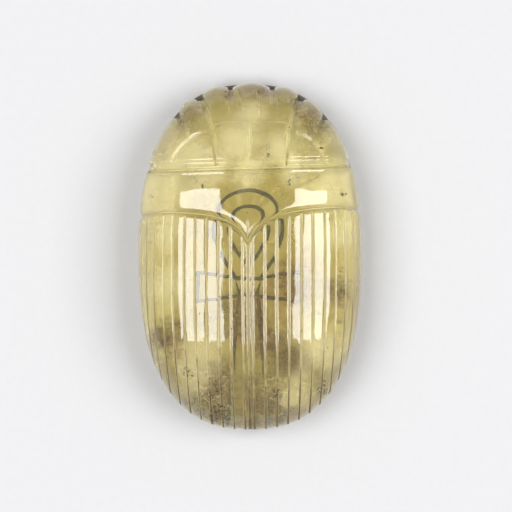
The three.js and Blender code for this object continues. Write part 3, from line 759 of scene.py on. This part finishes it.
def make_veils():
    """Thin crumpled sheets, each full in its middle and thinning to nothing at its edge."""
    crumple, ragged = Wander(11, 0.9), Wander(12, 1.3)
    across = np.linspace(-1, 1, 33)
    u, v = np.meshgrid(across, across, indexing="ij")
    points, faces, spread = [], [], []
    for k, veil in enumerate(VEILS):
        turn, tilt = math.radians(veil["turn"]), math.radians(veil["tilt"])
        a, b = u * veil["half"][0], v * veil["half"][1]
        lift = CRUMPLE * crumple(a + 9 * k, b) + a * math.tan(tilt)
        x = veil["middle"][0] + a * math.cos(turn) - b * math.sin(turn)
        y = veil["middle"][1] + a * math.sin(turn) + b * math.cos(turn)
        number = len(spread) * u.size + np.arange(u.size).reshape(u.shape)
        corners = [number[:-1, :-1], number[1:, :-1], number[1:, 1:], number[:-1, 1:]]
        faces.extend(np.stack([c.ravel() for c in corners], axis=-1).tolist())
        points.append(np.stack([x, y, veil["middle"][2] + lift], axis=-1).reshape(-1, 3))
        spread.append(np.clip(1 - np.hypot(u, v) * (1 + 0.3 * ragged(a, b + 9 * k)), 0, 1).ravel())
    mesh = bpy.data.meshes.new("rusty_veils")
    mesh.from_pydata((np.concatenate(points) * MM).tolist(), [], faces)
    mesh.polygons.foreach_set("use_smooth", [True] * len(mesh.polygons))
    mesh.attributes.new(SPREAD, "FLOAT", "POINT").data.foreach_set("value", np.concatenate(spread))
    return mesh


def make_grains():
    """Many small crystals of uneven shape, kept inside the stone."""
    rng = np.random.RandomState(21)
    golden = (1 + math.sqrt(5)) / 2
    corners = np.array([(0, s, t * golden) for s in (-1, 1) for t in (-1, 1)])
    corners = np.concatenate([np.roll(corners, k, axis=1) for k in range(3)]) / math.hypot(1, golden)
    hull = bmesh.new()
    for corner in corners:
        hull.verts.new(corner)
    bmesh.ops.convex_hull(hull, input=hull.verts[:])
    hull.verts.index_update()
    crystal = [[v.index for v in face.verts] for face in hull.faces]
    hull.free()
    points, faces = [], []
    for middle, spread, count in GRAINS:
        for _ in range(count):
            place = np.array(middle) + rng.normal(size=3) * spread
            size = SMALLEST_GRAIN + GRAIN_RANGE * rng.uniform() ** 2.2
            stretch = rng.uniform(*GRAIN_STRETCH, 3)
            most = arch_level(place[0], place[1]) - STONE_OVER_GRAINS
            place[2] = np.clip(place[2], STONE_UNDER_GRAINS, most)
            if edge_share(place[0], place[1]) > GRAIN_EDGE:
                continue
            faces.extend([len(points) * len(corners) + i for i in face] for face in crystal)
            points.append(place + corners * stretch * size)
    mesh = bpy.data.meshes.new("sealed_grains")
    mesh.from_pydata((np.concatenate(points) * MM).tolist(), [], faces)
    return mesh


class Socket:
    """A shader socket that sums can be written with. Each sum adds its Math node."""

    def __init__(self, tree, socket):
        self.tree, self.socket = tree, socket

    def sum(self, operation, *values):
        return self.tree.node("ShaderNodeMath", {"operation": operation}, dict(enumerate(values)))[0]

    def __add__(self, other):
        return self.sum("ADD", self, other)

    def __radd__(self, other):
        return self.sum("ADD", other, self)

    def __sub__(self, other):
        return self.sum("SUBTRACT", self, other)

    def __rsub__(self, other):
        return self.sum("SUBTRACT", other, self)

    def __mul__(self, other):
        return self.sum("MULTIPLY", self, other)

    def __rmul__(self, other):
        return self.sum("MULTIPLY", other, self)

    def __truediv__(self, other):
        return self.sum("DIVIDE", self, other)

    def __pow__(self, other):
        return self.sum("POWER", self, other)


class Tree:
    """A material's nodes."""

    def __init__(self, name):
        self.material = bpy.data.materials.new(name)
        self.material.use_nodes = True
        self.nodes = self.material.node_tree.nodes
        self.links = self.material.node_tree.links
        self.nodes.clear()

    def node(self, kind, settings, inputs):
        """Adds a node: its settings first, then the values or links of its sockets. Gives its outputs."""
        made = self.nodes.new(kind)
        for name, value in settings.items():
            setattr(made, name, value)
        for name, value in inputs.items():
            if isinstance(value, Socket):
                self.links.new(value.socket, made.inputs[name])
            else:
                made.inputs[name].default_value = value
        return [Socket(self, output) for output in made.outputs if output.enabled]

    def place(self):
        """The surface point in metres, in the object's own frame."""
        return self.node("ShaderNodeTexCoord", {}, {})[3]

    def axes(self):
        return self.node("ShaderNodeSeparateXYZ", {}, {0: self.place()})

    def stretched(self, scale):
        return self.node("ShaderNodeMapping", {}, {"Vector": self.place(), "Scale": scale})[0]

    def noise(self, vector, scale, detail, roughness):
        return self.node("ShaderNodeTexNoise", {}, {
            "Vector": vector, "Scale": scale, "Detail": detail, "Roughness": roughness})[0]

    def ramp(self, value, start, stop):
        return self.node("ShaderNodeMapRange", {"interpolation_type": "SMOOTHSTEP"}, {
            "Value": value, "From Min": start, "From Max": stop})[0]

    def limited(self, value):
        return self.node("ShaderNodeMath", {"operation": "ADD", "use_clamp": True}, {0: value, 1: 0.0})[0]

    def blend(self, share, a, b):
        return self.node("ShaderNodeMix", {"data_type": "RGBA"}, {"Factor": share, "A": a, "B": b})[0]

    def spots(self, places, ragged=3.2, inner=0.25, outer=1.15):
        """1 inside any of some round places (x, y, radius in mm) with uneven edges, seen from above."""
        edge = self.noise(self.place(), 420.0, 5.0, 0.65) - 0.5
        x, y, _ = self.axes()
        total = 0
        for centre_x, centre_y, radius in places:
            across, along = x / MM - centre_x, y / MM - centre_y
            away = (across * across + along * along) ** 0.5 + edge * (radius * ragged)
            total = total + (1 - self.ramp(away, radius * inner, radius * outer))
        return self.ramp(total, 0.0, 1.0)


# Tints of the stone's polished surface, from its clearest places to its darkest stains, with a pale tint of
# painted light and dark tints of painted shade among them.
CLEAR_STONE = (0.98, 0.885, 0.37, 1)
CLOUDED_STONE = (0.9, 0.765, 0.24, 1)
THIN_STONE = (0.97, 0.92, 0.65, 1)
# Painted light: a pale tint for patches where light gathers in the stone.
PAINTED_LIGHT_STONE = (1.0, 0.96, 0.7, 1)
DUSTY_STONE = (0.7, 0.48, 0.11, 1)
BROWN_STONE = (0.62, 0.41, 0.1, 1)
GRAINY_STONE = (0.42, 0.29, 0.07, 1)
# Painted shade of the head's steep lobes.
LOBE_PAINTED_SHADE = (0.6, 0.48, 0.25, 1)
# Painted shade of the head's steep lobes, and of the tail's rim with its dirt.
SHADE_AND_DIRT_STONE = (0.3, 0.235, 0.08, 1)
RUSTY_STONE = (0.42, 0.22, 0.06, 1)
GROUND_STONE = (0.6, 0.5, 0.2, 1)

# Colours of what is worn, unpolished or dirty, and two dark colours of painted shade.
PALE_FROST = (0.98, 0.9, 0.52, 1)
DEEP_FROST = (0.84, 0.72, 0.3, 1)
GROOVE_FROST = (0.36, 0.28, 0.12, 1)
UNDERSIDE_FROST = (0.72, 0.58, 0.24, 1)
EDGE_DIRT = (0.07, 0.055, 0.022, 1)
# Painted shade of the lobes, and of the tail's rim with its dirt.
SHADE_AND_DIRT_FROST = (0.22, 0.165, 0.045, 1)
CUT_DIRT = (0.12, 0.08, 0.035, 1)
# Painted shade in the waist under the head's edge.
WAIST_PAINTED_SHADE = (0.13, 0.115, 0.08, 1)
PIT_DIRT = (0.03, 0.02, 0.01, 1)

# Dark and pale tones of the films, the grains, the dirt in the sign and the floor.
FILM_TONES = ((0.15, 0.085, 0.025, 1), (0.34, 0.21, 0.07, 1))
GRAIN_TONES = ((0.03, 0.02, 0.01, 1), (0.24, 0.12, 0.04, 1))
SIGN_TONES = ((0.03, 0.025, 0.01, 1), (0.11, 0.092, 0.042, 1))
FLOOR_TONES = ((0.53, 0.53, 0.54, 1), (0.56, 0.56, 0.57, 1))

STONE_IOR = 1.54

# Places seen from above, as x, y and radius in millimetres.
STAINED = (
    (-7.7, -10.4, 0.6), (-10.0, -8.6, 0.6), (2.1, -9.7, 0.9), (4.6, -10.8, 1.3), (2.2, -8.4, 0.6),
    (-8.8, -9.4, 1.2), (-9.6, -7.8, 0.9), (0.6, 17.2, 0.9), (9.9, -4.0, 0.7), (-2.2, 17.3, 0.8),
    (6.2, 15.2, 1.3), (-5.6, 15.4, 0.9), (3.2, -15.6, 1.4), (0.5, -16.4, 1.2),
)
CLOUDS = (
    (3.4, -10.4, 2.6), (3.2, -4.6, 2.8), (4.4, -2.0, 2.2), (2.4, -6.2, 2.0), (5.4, -0.6, 1.9),
    (0.5, -14.4, 2.0), (-3.8, -14.6, 2.0), (-8.2, -8.8, 0.8), (9.2, -4.6, 1.5), (-0.2, -8.4, 1.8),
    (5.4, 14.6, 1.2),
)
# Painted shade: the head's steep lobes, and the tail's rim, where dirt darkens it too.
SHADE_AND_DIRT_PLACES = (
    (-6.9, 15.0, 1.9), (7.3, 14.2, 2.6), (-2.4, 17.4, 0.9), (4.7, 16.7, 1.0), (1.2, 17.7, 0.7),
    (0.4, -18.2, 1.5), (-3.6, -17.2, 1.2), (3.2, -17.7, 1.0),
)
# Painted light: pale patches that brighten the stone where light gathers in it and where the lamps leave it
# dim.
PAINTED_LIGHT_PLACES = (
    (-9.0, 7.6, 4.0), (8.6, 7.2, 3.0), (-4.2, 9.0, 2.0), (4.4, 8.8, 1.6), (0.0, 8.8, 1.9),
    (-6.4, 11.4, 2.0), (-1.4, 12.0, 2.6), (3.2, 11.6, 1.8), (0.2, 15.5, 1.7), (-9.2, -3.0, 2.6),
    (-5.4, -10.4, 2.8), (7.6, -10.2, 3.0), (-6.2, -13.6, 2.0), (5.2, -14.6, 2.0), (-9.2, 2.4, 2.2),
    (9.8, 2.4, 1.8), (4.0, -15.4, 1.0),
)
SPECKLED = (
    (-3.8, -14.4, 2.0), (-2.8, -16.9, 1.8), (7.8, -14.2, 1.4), (2.6, -14.6, 1.5), (-6.6, -12.6, 1.0),
    (-5.0, 7.6, 0.5), (4.2, 8.0, 0.6), (10.0, -3.6, 0.7), (-10.6, 6.2, 0.4), (1.8, 10.8, 0.5),
    (9.9, 6.6, 0.25),
)


def stone_material():
    """See-through polished stone, with worn, unpolished and dirty places mixed in, painted light in pale
    patches and on the face, and painted shade on the lobes, the tail's rim and the waist.
    """
    tree = Tree("yellow_green_stone")
    x, y, z = tree.axes()
    cloud = tree.noise(tree.place(), 150.0, 5.0, 0.6)
    mottle = tree.noise(tree.place(), 620.0, 5.0, 0.62)
    fine = tree.noise(tree.place(), 1500.0, 4.0, 0.6)
    dusty = tree.ramp(mottle, 0.35, 0.62)
    grainy = tree.ramp(tree.noise(tree.place(), 2200.0, 4.0, 0.7), 0.46, 0.68)
    ground = tree.node("ShaderNodeAttribute", {"attribute_name": GROUND}, {})[2]

    # Regions of the amulet, each from 0 to 1.
    side = tree.ramp((x * x) ** 0.5, 0.0088, 0.0118)
    tail = 1 - tree.ramp(y, -0.018, -0.007)
    wings = 1 - tree.ramp(y, 0.003, 0.006)
    lobes = tree.ramp(y, 0.0138, 0.018)
    face = tree.ramp(y, 0.0092, 0.0102) * (1 - lobes)
    across, along = x / (HALF_WIDTH * MM), y / (HALF_LENGTH * MM)
    edge = tree.ramp(across * across + along * along, 0.5, 0.9)
    low_edge = edge * (1 - tree.ramp(y, -0.008, 0.001))
    flat = 1 - tree.ramp(z, 0.0002, 0.0006)
    # Painted shade in the waist under the head's edge.
    waist = tree.ramp(z, 0.0012, 0.0016) * (1 - tree.ramp(z, 0.0024, 0.003)) * tree.ramp(y, 0.002, 0.012)
    # Painted shade on the lobes and at the tail's rim, with dirt there too.
    painted_shade_and_dirt = tree.spots(SHADE_AND_DIRT_PLACES, 1.4, 0.0, 1.5)
    # Painted light in pale patches.
    painted_light = tree.spots(PAINTED_LIGHT_PLACES, 1.2, 0.0, 1.5)
    brown = tree.spots(CLOUDS, 1.6, 0.0, 1.5) * (0.05 + 0.75 * dusty)
    stain = tree.spots(STAINED) * tree.ramp(mottle, 0.25, 0.6)

    clear = tree.blend(tree.ramp(cloud, 0.35, 0.68), CLEAR_STONE, CLOUDED_STONE)
    for share, tint in (
        (side * 0.35, THIN_STONE),
        # painted light
        (painted_light * 0.6, PAINTED_LIGHT_STONE),
        (tail * dusty * 0.2, DUSTY_STONE),
        (brown, BROWN_STONE),
        ((tail * 0.25 + 0.08 + lobes * 0.25) * grainy, GRAINY_STONE),
        # painted shade on the lobes
        (lobes * tree.ramp(mottle, 0.36, 0.62) * 0.4, LOBE_PAINTED_SHADE),
        # painted shade on the lobes and the tail's rim
        (painted_shade_and_dirt * (0.3 + 0.3 * mottle + 0.5 * grainy), SHADE_AND_DIRT_STONE),
        (stain * 0.85, RUSTY_STONE),
        (ground * 0.5 * (1 - face - lobes), GROUND_STONE),
    ):
        clear = tree.blend(share, clear, tint)

    scratch = tree.noise(tree.stretched((3400.0, 260.0, 900.0)), 1.0, 4.0, 0.6)
    relief = fine * 0.5 + scratch * 0.25 + ground * mottle * 0.8
    bump = tree.node("ShaderNodeBump", {}, {"Strength": 0.2, "Distance": 0.00004, "Height": relief})[0]
    glass = tree.node("ShaderNodeBsdfPrincipled", {}, {
        "Base Color": clear,
        "Roughness": 0.02 + tree.ramp(fine, 0.45, 0.8) * 0.05 + ground * 0.6,
        "IOR": STONE_IOR,
        "Transmission Weight": 0.97,
        "Coat Weight": 1 - ground * 0.9,
        "Coat Roughness": 0.02,
        "Coat IOR": 1.5,
        "Normal": bump,
    })[0]

    pits = tree.ramp(tree.noise(tree.place(), 3700.0, 4.0, 0.7), 0.53, 0.55) * tree.spots(SPECKLED)
    stray_pits = tree.ramp(tree.noise(tree.place(), 1700.0, 2.0, 0.5), 0.73, 0.76)
    pits = tree.node("ShaderNodeMath", {"operation": "MAXIMUM"}, {0: pits, 1: stray_pits})[0]
    dirt = tree.ramp(tree.noise(tree.place(), 1100.0, 5.0, 0.7) + tail * 0.2 + lobes * 0.2, 0.56, 0.7)
    frost = tree.blend(mottle, PALE_FROST, DEEP_FROST)
    for share, tint in (
        (wings * ground * 0.9, GROOVE_FROST),
        (flat, UNDERSIDE_FROST),
        (ground * tree.limited(tail * 0.5 + low_edge), EDGE_DIRT),
        # painted shade on the lobes and the tail's rim
        (painted_shade_and_dirt, SHADE_AND_DIRT_FROST),
        (dirt * ground, CUT_DIRT),
        # painted shade in the waist under the head's edge
        (waist, WAIST_PAINTED_SHADE),
        (pits, PIT_DIRT),
    ):
        frost = tree.blend(share, frost, tint)
    worn = tree.node("ShaderNodeBsdfPrincipled", {}, {
        "Base Color": frost, "Roughness": 0.6 + mottle * 0.35, "IOR": STONE_IOR, "Normal": bump})[0]

    in_cuts = ground * (0.1 + 0.5 * mottle + 0.2 * wings + 0.15 * tail + 0.7 * low_edge)
    # Painted light in pale patches and painted shade on the lobes and the tail's rim, as shares of the matte
    # layer.
    in_places = painted_light * (0.11 + 0.24 * mottle) + painted_shade_and_dirt * (0.1 + 0.6 * grainy)
    # A milky haze, painted light on the face, a little more matte at the tail, and painted shade in the
    # waist under the head's edge.
    in_regions = 0.05 * cloud + face * 0.08 + tail * 0.03 + waist * 0.8
    share = tree.limited(pits + in_cuts + in_places + in_regions)
    surface = tree.node("ShaderNodeMixShader", {}, {0: share, 1: glass, 2: worn})[0]
    tree.node("ShaderNodeOutputMaterial", {}, {"Surface": surface})
    return tree.material


def veil_material():
    """Iron-brown film on the healed cracks inside the stone."""
    tree = Tree("rusty_veil")
    patch = tree.noise(tree.place(), 520.0, 8.0, 0.75)
    fine = tree.noise(tree.place(), 3200.0, 4.0, 0.7)
    spread = tree.node("ShaderNodeAttribute", {"attribute_name": SPREAD}, {})[2]
    colour = tree.blend(tree.ramp(fine, 0.3, 0.7), *FILM_TONES)
    cover = tree.ramp(patch + spread * 0.2, 0.44, 0.7) * tree.ramp(spread, 0.0, 0.5) * (0.1 + 1.3 * fine)
    bump = tree.node("ShaderNodeBump", {}, {"Strength": 0.5, "Distance": 0.00005, "Height": fine})[0]
    shader = tree.node("ShaderNodeBsdfPrincipled", {}, {
        "Base Color": colour, "Roughness": 0.6 + fine * 0.3, "Alpha": cover, "Normal": bump})[0]
    tree.node("ShaderNodeOutputMaterial", {}, {"Surface": shader})
    return tree.material


def grain_material():
    """Dark mineral grains sealed in the stone."""
    tree = Tree("sealed_mineral_grain")
    tone = tree.noise(tree.place(), 900.0, 3.0, 0.6)
    colour = tree.blend(tree.ramp(tone, 0.35, 0.65), *GRAIN_TONES)
    bump = tree.node("ShaderNodeBump", {}, {"Strength": 0.4, "Distance": 0.00002, "Height": tone})[0]
    shader = tree.node("ShaderNodeBsdfPrincipled", {}, {
        "Base Color": colour, "Roughness": 0.5 + tone * 0.4, "Normal": bump})[0]
    tree.node("ShaderNodeOutputMaterial", {}, {"Surface": shader})
    return tree.material


def cut_material():
    """Dark dirt in the lines of the sign on the underside."""
    tree = Tree("dirt_in_cut_lines")
    grain = tree.noise(tree.place(), 2500.0, 5.0, 0.65)
    colour = tree.blend(tree.ramp(grain, 0.3, 0.7), *SIGN_TONES)
    bump = tree.node("ShaderNodeBump", {}, {"Strength": 0.6, "Distance": 0.00005, "Height": grain})[0]
    shader = tree.node("ShaderNodeBsdfPrincipled", {}, {
        "Base Color": colour, "Roughness": 0.75 + grain * 0.2, "Normal": bump})[0]
    tree.node("ShaderNodeOutputMaterial", {}, {"Surface": shader})
    return tree.material


def floor_material():
    tree = Tree("pale_ground")
    grain = tree.noise(tree.place(), 1500.0, 4.0, 0.6)
    colour = tree.blend(grain, *FLOOR_TONES)
    shader = tree.node("ShaderNodeBsdfPrincipled", {}, {
        "Base Color": colour, "Roughness": 0.95, "Specular IOR Level": 0.0})[0]
    tree.node("ShaderNodeOutputMaterial", {}, {"Surface": shader})
    return tree.material


def add_object(name, mesh, *materials):
    for material in materials:
        mesh.materials.append(material)
    made = bpy.data.objects.new(name, mesh)
    bpy.context.collection.objects.link(made)
    return made


# The floor in metres, a hair below the flat underside.
FLOOR_HALF = 1.5
FLOOR_LEVEL = -0.00005


def add_floor():
    mesh = bpy.data.meshes.new("ground")
    signs = ((-1, -1), (1, -1), (1, 1), (-1, 1))
    corners = [(a * FLOOR_HALF, b * FLOOR_HALF, FLOOR_LEVEL) for a, b in signs]
    mesh.from_pydata(corners, [], [(0, 1, 2, 3)])
    add_object("ground", mesh, floor_material())


def add_light(name, place, target, size, power):
    data = bpy.data.lights.new(name, "AREA")
    data.shape = "RECTANGLE"
    data.size, data.size_y = size
    data.energy = power
    light = bpy.data.objects.new(name, data)
    bpy.context.collection.objects.link(light)
    light.location = place
    light.rotation_euler = (Vector(target) - Vector(place)).to_track_quat("-Z", "Y").to_euler()


# Camera straight above, framed as in the photograph: the picture's scale and width in pixels, the camera's
# height and the level that the scale holds for in metres, the sensor's width and the shift in millimetres.
MM_PER_PIXEL = 0.108
PICTURE = 512
CAMERA_HEIGHT = 0.5
LEVEL_IN_FRAME = 0.004
SENSOR = 36
FRAME_SHIFT = (0.626, 0.0)


def add_camera():
    data = bpy.data.cameras.new("above")
    width = MM_PER_PIXEL * PICTURE * MM
    data.sensor_width = SENSOR
    data.lens = SENSOR * (CAMERA_HEIGHT - LEVEL_IN_FRAME) / width
    data.clip_start = 0.01
    camera = bpy.data.objects.new("above", data)
    bpy.context.collection.objects.link(camera)
    camera.location = (FRAME_SHIFT[0] * MM, FRAME_SHIFT[1] * MM, CAMERA_HEIGHT)
    bpy.context.scene.camera = camera


# Two soft boxes: their size, distance and shift towards the tail in metres, their power, and how they lean
# in degrees. The world lights the rest evenly.
LIGHT_SIZE = (0.67, 0.63)
LIGHT_DISTANCE = 1.0
LIGHT_BACK = -0.02
LIGHT_POWER = 8.3
LEANS = (("left_soft_box", -27.5), ("right_soft_box", 37.5))
WORLD_STRENGTH = 0.4


def add_lights():
    world = bpy.data.worlds.new("studio")
    world.use_nodes = True
    background = world.node_tree.nodes["Background"]
    background.inputs["Color"].default_value = (1, 1, 1, 1)
    background.inputs["Strength"].default_value = WORLD_STRENGTH
    bpy.context.scene.world = world
    for name, lean in LEANS:
        lean = math.radians(lean)
        place = (LIGHT_DISTANCE * math.sin(lean), LIGHT_BACK, LIGHT_DISTANCE * math.cos(lean))
        add_light(name, place, (0, 0, 0), LIGHT_SIZE, LIGHT_POWER)
    bpy.context.scene.view_settings.view_transform = "Standard"


add_camera()
add_floor()
add_lights()

stone = add_object("scarab_stone", make_stone(), stone_material(), cut_material())
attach(stone, "root")
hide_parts("scarab")

for name, mesh, material in (
    ("rusty_veils", make_veils(), veil_material()),
    ("sealed_grains", make_grains(), grain_material()),
):
    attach(add_object(name, mesh, material), "root")
